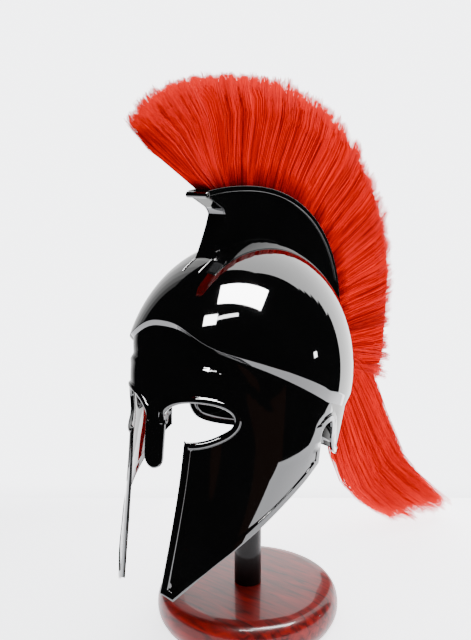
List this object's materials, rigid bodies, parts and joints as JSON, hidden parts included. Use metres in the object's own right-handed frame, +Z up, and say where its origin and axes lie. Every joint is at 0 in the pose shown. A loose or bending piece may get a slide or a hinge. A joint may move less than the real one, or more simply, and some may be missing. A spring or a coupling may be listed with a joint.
{
  "type": "greek helmet on display stand",
  "caption": "Corinthian-style Greek helmet with eye holes, nasal and cheek pieces and a tall hair crest, resting on the post of a turned wooden display stand.",
  "frame": {"origin": "middle of the stand base's underside", "axes": "+Z up, the helmet's face looks along -Y, and the wearer's left is +X"},
  "size_m": [0.2158, 0.5766, 0.6083],
  "materials": {
    "lacquered_shell": "gloss black lacquer over sheet metal",
    "red_hair": "dyed red hair, slightly glossy",
    "mahogany": "turned wood with a dark red gloss varnish"
  },
  "bodies": {
    "root": {"helmet_shell": "lacquered_shell", "crest_holder": "lacquered_shell", "plume": "red_hair", "stand_base": "mahogany", "stand_post": "mahogany"}
  },
  "joints": []
}
